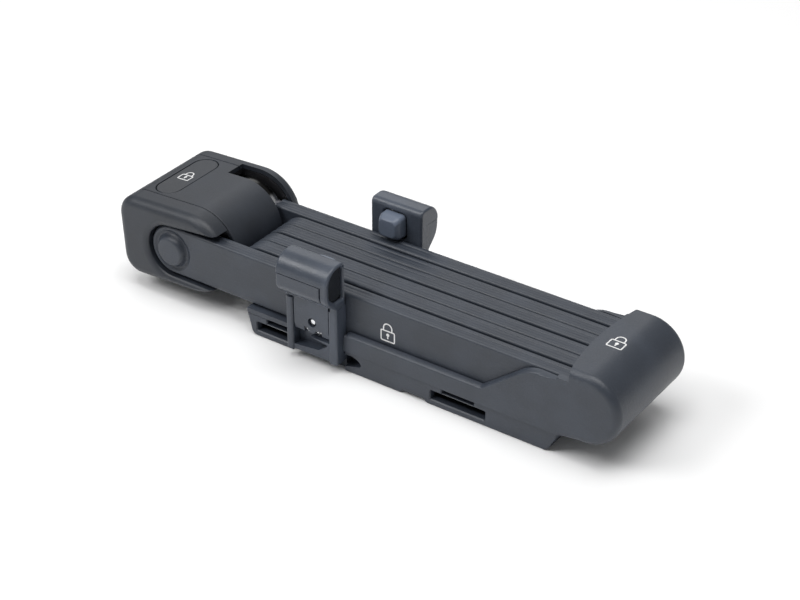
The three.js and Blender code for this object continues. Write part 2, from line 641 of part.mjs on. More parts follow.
function catchLever() {
  const reach = [-half + SHELL + GAP, half - 3 - GAP];
  const shell = cut(
    alongX(catchShape(), reach),
    alongX(catchShape(SHELL), [reach[0] - 1, reach[1] + 1]),
    box([-40, 40], [-40, 5], [SEAM_Z - GAP, 80]),
    box([-40, 40], [-POST_FRONT + 1.4, 5], [0, 80]),
    box([-40, 40], [-40, 5], [0, SHELL_LOW - 1]));
  const plate = alongY(leverFront(), [-POST_FRONT + 0.2, -POST_FRONT + 1.5]);
  const web = box([-2, 2], [-CATCH_OUT + 1, -1.6], [PAD_Z[0] + 1.4, SEAM_Z - 1]);
  const neck = box([-4, 4], [-POST_FRONT + 0.4, -1.6], [PAD_Z[0] + 0.2, PAD_Z[0] + 4]);
  const brace = box([-4, 4], [-POST_FRONT + 0.4, -POST_FRONT + 2], [SHELL_LOW - 1, PAD_Z[0] + 1]);
  const pad = alongX(outline([
    [-2.6, PAD_Z[0]], [PAD_IN - 2, PAD_Z[0], 1], [PAD_IN, PAD_Z[0] + 3, 1],
    [PAD_IN - 1, PAD_Z[1], 1.5], [-1.4, PAD_Z[1]], [-2.6, PAD_Z[1] - 1.6],
  ]), [-PAD_WIDE / 2, PAD_WIDE / 2], 0.8);
  const knuckles = [-1, 1].map((side) => {
    const span = [side * 4.6, side * (finHalf - GAP)].sort((a, b) => a - b);
    const round = rod(KNUCKLE_R, ...span, 'x', [0, -PIVOT_OUT, PIVOT_Z]);
    return join(round, box(span, [-POST_FRONT + 1.2, -PIVOT_OUT], [PIVOT_Z + 0.6, PIVOT_Z + 3.4]));
  });
  const studHole = rod(STUD_R + 0.6, -20, -PIVOT_OUT, 'y', [0, 0, STUD_Z]);
  const bore = rod(PIVOT_R + 0.1, -40, 40, 'x', [0, -PIVOT_OUT, PIVOT_Z]);
  return cut(join(shell, plate, brace, neck, web, pad, ...knuckles), bore, studHole);
}

function catchStud() {
  return turned([
    [0, -POST_FRONT + 1.4], [1.2, -POST_FRONT + 1.4], [STUD_R, -POST_FRONT + 1.9],
    [STUD_R, -SIDE_GAP - 0.2], [0, -SIDE_GAP - 0.2],
  ], 'y', [0, 0, STUD_Z]);
}

// Torsion spring wound round the pivot pin.
class Coil extends THREE.Curve {
  constructor(radius, half, turns, centre) {
    super();
    Object.assign(this, { radius, half, turns, centre });
  }

  getPoint(t, target = new THREE.Vector3()) {
    const at = 2 * Math.PI * this.turns * t;
    const [y, z] = this.centre;
    return target.set(THREE.MathUtils.lerp(-this.half, this.half, t),
      y + this.radius * Math.cos(at), z + this.radius * Math.sin(at));
  }
}

function catchSpring() {
  const path = new Coil(PIVOT_R + 0.45, 3.6, 4, [-PIVOT_OUT, PIVOT_Z]);
  return toSolid(new THREE.ExtrudeGeometry(circle(0, 0, 0.2, 5), {
    extrudePath: path, steps: 40, bevelEnabled: false,
  }));
}

const catchPin = () => rod(PIVOT_R, -half + 1.3, half - 1.3, 'x', [0, -PIVOT_OUT, PIVOT_Z]);

function catchPieces(side, x) {
  const group = new THREE.Group();
  group.position.set(x, side === 'near' ? -STACK_HALF : STACK_HALF, 0);
  group.rotation.z = side === 'near' ? 0 : Math.PI;
  group.add(piece(`${side}_catch_post`, catchPost(), bracketPlastic));
  group.add(piece(`${side}_catch_lever`, catchLever(), bracketPlastic));
  group.add(piece(`${side}_catch_pin`, catchPin(), springSteel));
  group.add(piece(`${side}_catch_stud`, catchStud(), chrome));
  group.add(piece(`${side}_catch_spring`, catchSpring(), springSteel));
  return group;
}

const lock = new THREE.Group();
lock.name = 'folding_lock';
lock.add(piece('bracket_body', bracketBody(), bracketPlastic));
lock.add(piece('mounting_foot', mountingFoot(), bracketPlastic));
footScrewAt.forEach(([x, y], i) => lock.add(piece(`foot_screw_${i + 1}`, footScrew(x, y), springSteel)));
lock.add(catchPieces('near', CATCH_NEAR_X), catchPieces('far', CATCH_FAR_X));
lock.add(linkPieces(), headPieces(), piece('head_rivet', headRivet(), hardSteel));

export default lock;
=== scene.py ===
import json
import math
import bmesh
import bpy
from mathutils import Matrix, Vector


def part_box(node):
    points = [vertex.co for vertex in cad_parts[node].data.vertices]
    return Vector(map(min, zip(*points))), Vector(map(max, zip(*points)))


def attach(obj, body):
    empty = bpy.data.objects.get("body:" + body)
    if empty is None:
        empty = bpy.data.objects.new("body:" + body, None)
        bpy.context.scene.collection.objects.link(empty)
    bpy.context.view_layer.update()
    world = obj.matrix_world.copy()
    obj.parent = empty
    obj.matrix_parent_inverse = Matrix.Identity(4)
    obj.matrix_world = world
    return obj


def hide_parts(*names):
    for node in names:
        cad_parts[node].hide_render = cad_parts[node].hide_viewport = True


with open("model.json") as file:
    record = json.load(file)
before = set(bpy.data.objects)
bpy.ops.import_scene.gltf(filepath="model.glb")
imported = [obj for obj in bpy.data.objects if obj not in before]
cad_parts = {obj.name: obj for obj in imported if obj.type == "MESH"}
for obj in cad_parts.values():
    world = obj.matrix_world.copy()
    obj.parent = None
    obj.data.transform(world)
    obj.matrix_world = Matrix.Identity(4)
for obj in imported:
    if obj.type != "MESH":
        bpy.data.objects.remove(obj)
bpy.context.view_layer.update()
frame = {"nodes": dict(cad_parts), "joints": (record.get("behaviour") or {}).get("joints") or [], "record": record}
mm = 0.001
print("frame loaded:", len(frame["nodes"]), "nodes")


# places read from the frame, in millimetres
def boxMm(node):
    low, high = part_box(node)
    return [v / mm for v in low], [v / mm for v in high]


plainLow, plainHigh = boxMm("link_2_cover")
linkR = (plainHigh[2] - plainLow[2]) / 2
linkZ = (plainHigh[2] + plainLow[2]) / 2
rightX = plainHigh[0] - linkR
leftX = plainLow[0] + linkR
headX = boxMm("link_1_cover")[0][0] + linkR
stackHalf = boxMm("link_6_cover")[1][1]
jointOf = {joint["name"]: joint for joint in frame["joints"]}
upAxis = jointOf["key_turn"]["axis"]
headTilt = math.atan2(-upAxis[0], upAxis[2])
headPlace = Matrix.Translation((headX, 0, linkZ)) @ Matrix.Rotation(-headTilt, 4, "Y")


# flat outlines, as lists of points
def arc(centre, radius, start, end, steps):
    angles = [math.radians(start + (end - start) * k / steps) for k in range(steps + 1)]
    return [(centre[0] + radius * math.cos(a), centre[1] + radius * math.sin(a)) for a in angles]


def rounded(corners, steps=8):
    # corners are (x, y) or (x, y, radius)
    points = []
    for i, corner in enumerate(corners):
        here = Vector(corner[:2])
        radius = corner[2] if len(corner) > 2 else 0
        if not radius:
            points.append(tuple(here))
            continue
        into = (Vector(corners[i - 1][:2]) - here).normalized()
        out = (Vector(corners[(i + 1) % len(corners)][:2]) - here).normalized()
        half = math.acos(max(-1, min(1, into.dot(out)))) / 2
        start = here + into * (radius / math.tan(half))
        end = here + out * (radius / math.tan(half))
        centre = here + (into + out).normalized() * (radius / math.sin(half))
        a0 = math.atan2(*(start - centre).yx)
        turn = math.atan2(*(end - centre).yx) - a0
        turn = math.atan2(math.sin(turn), math.cos(turn))
        points += arc(centre, radius, math.degrees(a0), math.degrees(a0 + turn), steps)
    return points


def stadium(x0, x1, z, radius, steps=40):
    return arc((x1, z), radius, -90, 90, steps) + arc((x0, z), radius, 90, 270, steps)


def grown(outline, amount):
    # the outline moved out along its own normals, or in where amount is below 0
    area = sum(a[0] * b[1] - a[1] * b[0] for a, b in zip(outline, outline[1:] + outline[:1]))
    side = 1 if area > 0 else -1
    moved = []
    for i, point in enumerate(outline):
        here = Vector(point)
        back = (here - Vector(outline[i - 1])).normalized()
        ahead = (Vector(outline[(i + 1) % len(outline)]) - here).normalized()
        normalA = Vector((back.y, -back.x)) * side
        normalB = Vector((ahead.y, -ahead.x)) * side
        normal = (normalA + normalB).normalized()
        share = amount[i] if isinstance(amount, list) else amount
        moved.append(tuple(here + normal * share / max(0.35, normal.dot(normalA))))
    return moved


# solids from outlines
axisMaps = {
    "x": lambda a, b, h: (h, a, b),
    "y": lambda a, b, h: (a, h, b),
    "z": lambda a, b, h: (a, b, h),
}


def meshPiece(name, points, faces):
    mesh = bpy.data.meshes.new(name)
    mesh.from_pydata([Vector(p) * mm for p in points], [], faces)
    work = bmesh.new()
    work.from_mesh(mesh)
    bmesh.ops.remove_doubles(work, verts=work.verts, dist=1e-7)
    bmesh.ops.recalc_face_normals(work, faces=work.faces)
    work.to_mesh(mesh)
    work.free()
    piece = bpy.data.objects.new(name, mesh)
    bpy.context.scene.collection.objects.link(piece)
    return piece


def skinned(name, loops):
    count = len(loops[0])
    points = [p for loop in loops for p in loop]
    faces = [tuple(range(count)), tuple(range((len(loops) - 1) * count, len(loops) * count))]
    for row in range(len(loops) - 1):
        for k in range(count):
            a, b = row * count + k, row * count + (k + 1) % count
            faces.append((a, b, b + count, a + count))
    return meshPiece(name, points, faces)


def slab(name, outline, axis, stations, share=None):
    # stations are (height, inset) pairs; share scales the inset point by point
    loops = []
    for height, inset in stations:
        amount = [-inset * s for s in share] if share else -inset
        flat = grown(outline, amount) if inset else outline
        loops.append([axisMaps[axis](a, b, height) for a, b in flat])
    return skinned(name, loops)


def lofted(name, axis, sections):
    # sections are (height, outline) pairs with the same number of points in each outline
    return skinned(name, [[axisMaps[axis](a, b, height) for a, b in flat] for height, flat in sections])


def softEnds(low, high, lowR=0.0, highR=0.0, steps=6):
    turns = [math.pi / 2 * k / steps for k in range(steps + 1)]
    start, end = [(low, 0)], [(high, 0)]
    if lowR:
        start = [(low + lowR - lowR * math.cos(t), lowR - lowR * math.sin(t)) for t in turns]
    if highR:
        end = [(high - highR + highR * math.cos(t), highR - highR * math.sin(t)) for t in turns]
    return start + end[::-1]


def flared(low, high, lip):
    # a cutting tool that opens by lip at its high end, for a rounded rim
    turns = [math.pi / 8 * k for k in range(5)]
    rim = [(high - lip + lip * math.sin(t), -lip + lip * math.cos(t)) for t in turns]
    return [(low, 0)] + rim + [(high + 6, -lip)]


def turned(name, profile, axis, centre, sides=64):
    # profile is (radius, height) pairs, turned round the axis through centre
    points, faces = [], []
    rows = len(profile)
    for k in range(sides):
        a = 2 * math.pi * k / sides
        for radius, height in profile:
            spot = axisMaps[axis](radius * math.cos(a), radius * math.sin(a), height)
            points.append(tuple(Vector(spot) + Vector(centre)))
    for k in range(sides):
        for row in range(rows - 1):
            a, b = k * rows + row, ((k + 1) % sides) * rows + row
            faces.append((a, b, b + 1, a + 1))
    piece = meshPiece(name, points, faces)
    work = bmesh.new()
    work.from_mesh(piece.data)
    bmesh.ops.dissolve_degenerate(work, dist=1e-7, edges=work.edges)
    bmesh.ops.recalc_face_normals(work, faces=work.faces)
    work.to_mesh(piece.data)
    work.free()
    return piece


def block(name, xs, ys, zs, edge=0.0):
    outline = [(xs[0], ys[0]), (xs[1], ys[0]), (xs[1], ys[1]), (xs[0], ys[1])]
    stations = [(zs[0], 0), (zs[1], 0)]
    if edge:
        stations = [(zs[0], edge), (zs[0] + edge, 0), (zs[1] - edge, 0), (zs[1], edge)]
    return slab(name, outline, "z", stations)


def hole(radius, axis, centre, sides=64, low=-60, high=60):
    return turned("hole", [(0, low), (radius, low), (radius, high), (0, high)], axis, centre, sides)


def settle(piece):
    bpy.context.view_layer.update()
    mesh = bpy.data.meshes.new_from_object(piece.evaluated_get(bpy.context.evaluated_depsgraph_get()))
    piece.modifiers.clear()
    piece.data = mesh


def combine(piece, tools, operation):
    for tool in tools:
        change = piece.modifiers.new("combine", "BOOLEAN")
        change.operation, change.solver, change.object = operation, "EXACT", tool
        settle(piece)
        bpy.data.objects.remove(tool)
    return piece


def cut(piece, *tools):
    return combine(piece, tools, "DIFFERENCE")


def join(piece, *others):
    return combine(piece, others, "UNION")


def finishPiece(piece, body, material, nodes=(), place=None, angle=32):
    if place:
        moved = place.copy()
        moved.translation = moved.translation * mm
        piece.data.transform(moved)
    piece.data.materials.clear()
    piece.data.materials.append(material)
    piece.data.shade_smooth()
    piece.data.set_sharp_from_angle(angle=math.radians(angle))
    weight = piece.modifiers.new("weight", "WEIGHTED_NORMAL")
    weight.keep_sharp = True
    settle(piece)
    piece.data.name = piece.name
    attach(piece, body)
    if nodes:
        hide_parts(*nodes)
    return piece


# a socket that can be written into sums, and the material it belongs to
class Wire:
    def __init__(self, paint, socket):
        self.paint, self.socket = paint, socket

    def maths(self, operation, first, second):
        return self.paint.node("ShaderNodeMath", {"operation": operation}, {0: first, 1: second})

    def __add__(self, other):
        return self.maths("ADD", self, other)

    __radd__ = __add__

    def __mul__(self, other):
        return self.maths("MULTIPLY", self, other)

    __rmul__ = __mul__

    def __sub__(self, other):
        return self.maths("SUBTRACT", self, other)

    def __rsub__(self, other):
        return self.maths("SUBTRACT", other, self)


class Paint:
    def __init__(self, name, **uniform):
        self.material = bpy.data.materials.new(name)
        self.material.use_nodes = True
        self.tree = self.material.node_tree
        self.shader = self.tree.nodes["Principled BSDF"]
        for socket, value in uniform.items():
            self.shader.inputs[socket.replace("_", " ")].default_value = value
        self.where = self.node("ShaderNodeTexCoord", output="Object")

    def node(self, kind, settings=None, sockets=None, output=0):
        node = self.tree.nodes.new(kind)
        for key, value in (settings or {}).items():
            setattr(node, key, value)
        for key, value in (sockets or {}).items():
            if isinstance(value, Wire):
                self.tree.links.new(value.socket, node.inputs[key])
            else:
                node.inputs[key].default_value = value
        return Wire(self, node.outputs[output])

    def noise(self, scale, detail=2.0, stretch=(1, 1, 1), rough=0.5):
        spot = self.node("ShaderNodeVectorMath", {"operation": "MULTIPLY"}, {0: self.where, 1: stretch})
        sockets = {"Vector": spot, "Scale": scale, "Detail": detail, "Roughness": rough}
        return self.node("ShaderNodeTexNoise", None, sockets)

    def between(self, value, low, high, newLow=0.0, newHigh=1.0):
        sockets = {"Value": value, "From Min": low, "From Max": high, "To Min": newLow, "To Max": newHigh}
        return self.node("ShaderNodeMapRange", {"interpolation_type": "SMOOTHSTEP"}, sockets)

    def axis(self, k):
        return self.node("ShaderNodeSeparateXYZ", None, {0: self.where}, output=k)

    def size(self, value):
        return self.node("ShaderNodeMath", {"operation": "ABSOLUTE"}, {0: value})

    def blend(self, factor, first, second):
        sockets = {"Factor": factor, 6: first, 7: second}
        return self.node("ShaderNodeMix", {"data_type": "RGBA"}, sockets, output=2)

    def feed(self, socket, wire):
        self.tree.links.new(wire.socket, self.shader.inputs[socket])

    def bump(self, height, strength, distance):
        sockets = {"Height": height, "Strength": strength, "Distance": distance}
        self.feed("Normal", self.node("ShaderNodeBump", None, sockets))


def shade(value, tint=(1.0, 1.0, 1.0)):
    return (value * tint[0], value * tint[1], value * tint[2], 1.0)


coolTint = (0.80, 0.97, 1.30)
plasticLook = {
    # name: base, lighter patches, roughness, its spread, grain size, grain depth, streaks
    "linkPlastic": (0.036, 0.046, 0.44, 0.07, 2600, 0.16, 0.8),
    "bracketPlastic": (0.040, 0.050, 0.42, 0.07, 2100, 0.24, 0.0),
    "footPlastic": (0.040, 0.050, 0.42, 0.07, 2100, 0.24, 0.0),
    "headPlastic": (0.023, 0.030, 0.46, 0.06, 2900, 0.16, 0.0),
    "flapPlastic": (0.019, 0.025, 0.42, 0.06, 2900, 0.12, 0.0),
    "catchPlastic": (0.052, 0.070, 0.36, 0.09, 1500, 0.20, 0.0),
    # painted shade: a near-black plastic for the sheet in the near shell's hollow end
    "endShadePlastic": (0.012, 0.016, 0.40, 0.06, 2300, 0.10, 0.0),
    "padPlastic": (0.120, 0.150, 0.40, 0.06, 2300, 0.12, 0.0),
}


def plastic(name, sunk=None):
    # sunk gives a mask that is 1 where the surface lies inside an opening; there the colour is darkened as painted
    # shade
    base, light, rough, spread, grain, depth, streaks = plasticLook[name]
    paint = Paint(name, Specular_IOR_Level=0.5)
    cloud = paint.noise(55, 4)
    fine = paint.noise(grain, 2)
    speck = paint.noise(grain * 0.4, 3)
    patch = paint.between(cloud, 0.35, 0.7)
    colour = paint.blend(patch, shade(base, coolTint), shade(light, coolTint))
    colour = paint.blend(paint.between(fine, 0.55, 0.8, 0, 0.35), colour, shade(light * 1.5, coolTint))
    # painted shade: near black inside openings
    if sunk:
        colour = paint.blend(sunk(paint), colour, shade(base * 0.12, coolTint))
    paint.feed("Base Color", colour)
    paint.feed("Roughness", rough + (cloud - 0.5) * spread * 2 + (speck - 0.5) * spread)
    height = fine * 0.6 + speck * 0.4
    if streaks:
        lines = paint.noise(1500, 2, (0.02, 1, 1))
        height = height + lines * streaks
    paint.bump(height, depth, 0.0006)
    return paint.material


def brightMetal(name, colour, rough, scratch, paintedShade=None):
    paint = Paint(name, Metallic=1.0)
    marks = paint.noise(900, 3, (0.05, 1, 1))
    cloud = paint.noise(60, 3)
    tone = paint.blend(paint.between(cloud, 0.3, 0.75), shade(1, colour), shade(0.86, colour))
    # painted shade: where the mask is 1 the metal is coloured near black
    if paintedShade:
        tone = paint.blend(paintedShade(paint), tone, shade(0.035))
    paint.feed("Base Color", tone)
    paint.feed("Roughness", rough + (marks - 0.5) * scratch + (cloud - 0.5) * 0.08)
    paint.bump(marks, 0.04, 0.0004)
    return paint.material


def signPaint():
    paint = Paint("signPaint", Specular_IOR_Level=0.4)
    cloud = paint.noise(700, 2)
    paint.feed("Base Color", paint.blend(paint.between(cloud, 0.3, 0.7), shade(0.80), shade(0.70)))
    paint.feed("Roughness", 0.5 + (cloud - 0.5) * 0.2)
    return paint.material


linkPlastic = plastic("linkPlastic")
bracketPlastic = plastic("bracketPlastic")
headPlastic = plastic("headPlastic")
flapPlastic = plastic("flapPlastic")
catchPlastic = plastic("catchPlastic")
padPlastic = plastic("padPlastic")
endShadePlastic = plastic("endShadePlastic")
chrome = brightMetal("chromePlate", (0.80, 0.81, 0.83), 0.14, 0.10)
hardSteel = brightMetal("hardSteel", (0.42, 0.43, 0.45), 0.36, 0.22)
darkSteel = brightMetal("darkSteel", (0.10, 0.10, 0.11), 0.46, 0.20)
brass = brightMetal("brass", (0.74, 0.56, 0.28), 0.28, 0.18)
springSteel = brightMetal("springSteel", (0.62, 0.63, 0.65), 0.24, 0.15)
signWhite = signPaint()
print("finishes mixed")


# the plastic sleeves of the six links
sleeve = {
    # across the sleeve: distance from its near face, inset from the outline
    "profile": [(0, 1.25), (0.12, 0.85), (0.35, 0.48), (0.7, 0.2), (1.2, 0.06), (1.8, 0.03), (2.1, 0.1),
                (2.35, 0.34), (2.6, 0.46), (2.95, 0.42), (3.4, 0.3), (3.8, 0.27)],
    "holeR": 7.5,
    "barR": 10.1,
    "wall": 1.0,
    "tongueX": -96.5,
    "pastEnd": 35,  # link 6 starts beyond its cut end
    "close": 0.24,  # taken from the gap inside a pair
    "apart": 0.28,  # added to the gap between pairs
}


def sleeveStations(low, high):
    half = sleeve["profile"]
    start = [(low + d, inset) for d, inset in half]
    end = [(high - d, inset) for d, inset in half[:-1]]
    return start + end[::-1]


def bossOnHead(piece, face):
    # a round boss over the head rivet, standing in a shallow ring
    centre = (headX, 0, linkZ)
    deep = 0.8
    ring = [(0, -5), (10.7, -5), (10.5, 0), (10.2, 0.1), (9.7, 0.4), (9.2, 0.68),
            (8.7, deep), (8, deep), (0, deep)]
    slope = [(0, -2.3), (5.4, -2.3), (6.0, -2.25), (6.5, -2.05), (6.95, -1.6), (7.3, -1.0),
             (7.6, -0.3), (7.9, 0.3), (8.3, 0.66), (8.6, 0.82), (8.6, 0.95), (0, 0.95)]
    ringTool = turned("ring", [(r, face + h) for r, h in ring], "y", centre, 96)
    boss = turned("boss", [(r, face + h) for r, h in slope], "y", centre, 96)
    return join(cut(piece, ringTool), boss)


def linkSleeve(n):
    node = f"link_{n}_cover"
    low, high = boxMm(node)
    # the gaps inside pairs 2-3 and 4-5 are tight, the ones between pairs open
    front = -stackHalf if n == 1 else low[1] - (sleeve["close"] if n % 2 else -sleeve["apart"])
    back = high[1] if n == 6 else high[1] + (-sleeve["apart"] if n % 2 else sleeve["close"])
    left = {1: headX, 6: leftX - sleeve["pastEnd"]}.get(n, leftX)
    piece = slab(f"sleeve_{n}", stadium(left, rightX, linkZ, linkR), "y", sleeveStations(front, back))
    if n == 6:
        cut(piece, block("end", (-200, sleeve["tongueX"]), (-60, 60), (-20, 80)))
    bar = slab("bar", stadium(left, rightX, linkZ, sleeve["barR"]), "y",
               [(front + sleeve["wall"], 0), (high[1] - sleeve["wall"], 0)])
    if n == 1:
        bossOnHead(piece, front)
    cut(piece, bar)
    joints = ((n - 1, leftX if n % 2 else rightX), (n, rightX if n % 2 else leftX))
    for x in [x for j, x in joints if 0 < j < 6]:
        cut(piece, hole(sleeve["holeR"], "y", (x, 0, linkZ)))
    if n == 1:
        cut(piece, hole(sleeve["holeR"], "y", (headX, 0, linkZ), low=high[1] - 2))
    return finishPiece(piece, f"link_{n}", linkPlastic, [node])


for n in range(1, 7):
    linkSleeve(n)
print("sleeves done")


# the plated tongue at the end of link 6
tongue = {
    "x": -113.0, "z": 26.5, "radius": 17.5, "hole": 5.2, "neck": (14.6, 36.7), "barR": 9.8, "rivetHole": 3.9,
    "rim": (2.15, 1.95), "rimX": (-100, -102),  # where the painted shade on its rim fades in, across and along
}


def tongueRimShade(paint):
    # painted shade: the tongue's rim between its two bright corners is coloured near black
    x, y = paint.axis(0), paint.axis(1)
    low, high = boxMm("link_6_bar")
    across = paint.size(y - (low[1] + high[1]) / 2 * mm)
    start, full = tongue["rim"]
    startX, fullX = tongue["rimX"]
    return paint.between(across, start * mm, full * mm) * paint.between(x, startX * mm, fullX * mm)


# the tongue's plate, with painted shade on its rim
tonguePlate = brightMetal("tonguePlate", (0.80, 0.81, 0.83), 0.16, 0.10, tongueRimShade)


def tongueBar():
    low, high = boxMm("link_6_bar")
    ys = (low[1], high[1])
    piece = slab("tongue_bar", stadium(leftX, rightX, linkZ, tongue["barR"]), "y", softEnds(*ys, 0.4, 0.4, 3))
    circle = arc((tongue["x"], tongue["z"]), tongue["radius"], 0, 357, 119)
    disc = slab("disc", circle, "y", softEnds(*ys, 0.7, 0.7, 4))
    neckEnd, (neckLow, neckHigh) = sleeve["tongueX"] - 0.05, tongue["neck"]
    flat = [(tongue["x"], neckLow), (neckEnd, neckLow), (neckEnd, neckHigh), (tongue["x"], neckHigh)]
    neck = slab("neck", flat, "y", softEnds(ys[0] + 0.01, ys[1] - 0.01, 0.7, 0.7, 4))
    boltHole = hole(tongue["hole"], "y", (tongue["x"], 0, tongue["z"]))
    cut(join(piece, disc, neck), boltHole, hole(tongue["rivetHole"], "y", (rightX, 0, linkZ), 48))
    return finishPiece(piece, "link_6", tonguePlate, ["link_6_bar"])


tongueBar()


# the rivets between the links
def rivetPiece(j):
    node = f"rivet_{j}{j + 1}"
    low, high = boxMm(node)
    x, z = (low[0] + high[0]) / 2, (low[2] + high[2]) / 2
    y0, y1 = low[1], high[1]
    side = [(0, 0), (3.2, 0.03), (5.0, 0.16), (5.7, 0.4), (6.0, 0.75), (6.0, 0.95), (3.6, 0.95)]
    profile = [(r, y0 + h) for r, h in side] + [(r, y1 - h) for r, h in side[::-1]]
    piece = turned(node + "_head", profile, "y", (x, 0, z), 48)
    return finishPiece(piece, f"link_{j}", springSteel, [node])


for j in range(1, 6):
    rivetPiece(j)
print("tongue and rivets done")


# the lock head, drawn in its own tilted frame: u along the stack, y across, w up
head = {
    "left": -29.0, "top": 21.5, "low": -17.7, "noseU": 11.5, "corner": 9.5, "wall": 2.2,
    "near": (-27.2, -16.7), "barrel": (-16.4, 23.2), "far": (23.5, 31.2), "slot": (15.4, 25.7),
    "slotU": 1.5, "seatR": 17.8, "pocketR": 12.8, "rock": 3.1,
}
noseR = (head["top"] - head["low"]) / 2
noseW = (head["top"] + head["low"]) / 2
flap = {
    "u": -12.4, "y": 3.4, "wide": 12.2, "long": 36.4, "thick": 1.7, "gap": 0.35, "deep": 2.6, "sunk": 0.08,
}


def headOutline(inset=0.0):
    corner = head["corner"] - inset
    left, low, top = head["left"] + inset, head["low"] + inset, head["top"] - inset
    return (arc((left + corner, low + corner), corner, 180, 270, 16)
            + arc((head["noseU"], noseW), noseR - inset, -90, 90, 64)
            + arc((left + corner, top - corner), corner, 90, 180, 16))


def headSlot(piece, ys):
    # the crescent slot: a round seat for the tongue and the way in to it
    circle = arc((tongue["x"] - headX, tongue["z"] - linkZ), head["seatR"], 0, 357, 119)
    seat = slab("seat", circle, "y", [(ys[0], 0), (ys[1], 0)])
    way = block("way", (head["slotU"], 60), ys, (-40, 40))
    return cut(piece, seat, way)


def flapOutline(grow=0.0):
    half = flap["wide"] / 2 + grow
    span = flap["long"] / 2 - flap["wide"] / 2
    centre = flap["y"]
    return (arc((flap["u"], centre + span), half, 0, 180, 24)
            + arc((flap["u"], centre - span), half, 180, 360, 24))


def nearCheek():
    piece = slab("cheek_near", headOutline(), "y", softEnds(*head["near"], 4.4, 0.35, 8))
    reach = 60
    rise = head["pocketR"] + reach * math.tan(math.radians(head["rock"]))
    outline = arc((0, 0), head["pocketR"], 90, 270, 40) + [(reach, -rise), (reach, rise)]
    face = head["near"][0]
    # the pocket for link 1 flares at the face
    lip = [(-6, -3.4), (-0.02, -3.4), (0.1, -2.3), (0.3, -1.4), (0.62, -0.7), (1.0, -0.25), (1.4, 0)]
    cut(piece, slab("pocket", outline, "y", [(face + deep, wider) for deep, wider in lip] + [(0, 0)]))
    return finishPiece(piece, "lock_head", headPlastic, ["head_near_cheek"], headPlace)


def barrelCover():
    low, high = head["barrel"]
    piece = slab("barrel_cover", headOutline(), "y", softEnds(low, high, 0.35, 0.35, 3))
    cut(piece, slab("hollow", headOutline(head["wall"]), "y", [(low - 1, 0), (high + 1, 0)]))
    top = head["top"]
    cut(piece, slab("recess", flapOutline(flap["gap"]), "z", flared(top - flap["deep"], top + 0.02, 0.25)))
    headSlot(piece, (head["slot"][0], high + 1))
    return finishPiece(piece, "lock_head", headPlastic, ["head_barrel_cover"], headPlace)


def farCheek():
    low, high = head["far"]
    piece = slab("cheek_far", headOutline(), "y", softEnds(low, high, 0.35, 3.8, 8))
    cut(piece, slab("hollow", headOutline(head["wall"]), "y", [(low - 1, 0), (high - head["wall"], 0)]))
    headSlot(piece, (low - 1, head["slot"][1]))
    return finishPiece(piece, "lock_head", headPlastic, ["head_far_cheek"], headPlace)


def keyFlap():
    top = head["top"] - flap["sunk"]
    piece = slab("key_flap", flapOutline(), "z", softEnds(top - flap["thick"], top, 0.1, 0.3, 3))
    return finishPiece(piece, "key_cover", flapPlastic, ["key_cover"], headPlace)


nearCheek()
barrelCover()
farCheek()
keyFlap()
print("lock head done")


# the tray with its round nose
footLow, footHigh = boxMm("mounting_foot")
tray = {
    "left": footLow[0], "out": 28.3, "in": 25.4, "under": 10.6, "floor": 12.85, "lip": 19.4, "arch": 37.1,
    "rampX": (43.5, 66.0), "wallX": -24.8, "noseX": 91.3, "noseZ": 26.75, "noseR": 16.3, "insideR": 13.9,
    "mouthX": 84.6, "mouthUp": 0.4, "bow": 3.4, "rimR": 3.4,
}

foot = {
    "left": footLow[0], "right": 80.0, "half": footHigh[1],
    "straps": (-59.4, 32.2), "slot": (27.0, 4.4), "slotZ": 2.8, "shade": (24.6, 23.6),
    "buckle": (15.8, 2.4), "buckleZ": 7.7, "top": 10.3, "edge": 0.7, "flare": 0.4,
    "roomHalf": 14.1, "roomIn": 24.9, "scallopIn": 21,
}


def trayOutline():
    x, z, radius = tray["noseX"], tray["noseZ"], tray["noseR"]
    low = z - radius
    arch = rounded([(tray["mouthX"] - 6, tray["arch"] + 6), (tray["mouthX"] - 6, tray["arch"] - 0.5, 0.4),
                    (tray["rampX"][1], tray["arch"], 15), (tray["rampX"][0], tray["lip"], 1.2),
                    (tray["wallX"], tray["lip"], 2.2), (tray["wallX"] - 0.4, tray["floor"]),
                    (tray["left"], tray["floor"]), (tray["left"], low, 0.8)], 12)
    bottom = [(x - 30, low), (x - 12, low), (x - 6, low)]
    nose = arc((x, z), radius, -90, 90, 72)
    front = [(x - 3, z + radius), (tray["mouthX"] - 6.0, z + radius)]
    outline = bottom + nose + front + arch[1:]
    # the nose's rim is fully rounded, the wall's top a little, the rest is square
    share = []
    for px, pz in outline:
        onNose = px > tray["mouthX"] - 6.2 and (pz > tray["arch"] + 3 or px > x - 0.5 or pz < low + 0.1)
        onTop = tray["lip"] - 0.6 < pz and not onNose and px < tray["mouthX"] - 8
        if onNose and pz < low + 0.1:
            share.append(min(1, max(0, (px - (x - 12)) / 12)))
        else:
            share.append(1.0 if onNose else 0.4 if onTop else 0.0)
    return outline, share


def mouthTool():
    # clears the top of the tray up to a mouth that bows towards the lock head
    side, steps, bow = 40, 24, []
    for k in range(steps + 1):
        y = -side + 2 * side * k / steps
        bow.append((tray["mouthX"] - tray["bow"] * (1 - min(1, (y / tray["out"]) ** 2)), y))
    stations = [(linkZ + linkR + tray["mouthUp"], 0), (70, 0)]
    return slab("mouth", [(-120, -side)] + bow + [(-120, side)], "z", stations)


def innerOutline():
    x, z, radius = tray["noseX"], tray["noseZ"], tray["insideR"]
    start = tray["left"] - 5
    return [(start, z - radius)] + arc((x, z), radius, -90, 90, 48) + [(start, z + radius)]


def postRoom(x, side, reach=0.3):
    half = catch["wide"] / 2 + reach
    return block("room", (x - half, x + half), sorted((side * tray["in"], side * 40)), (-5, 80))


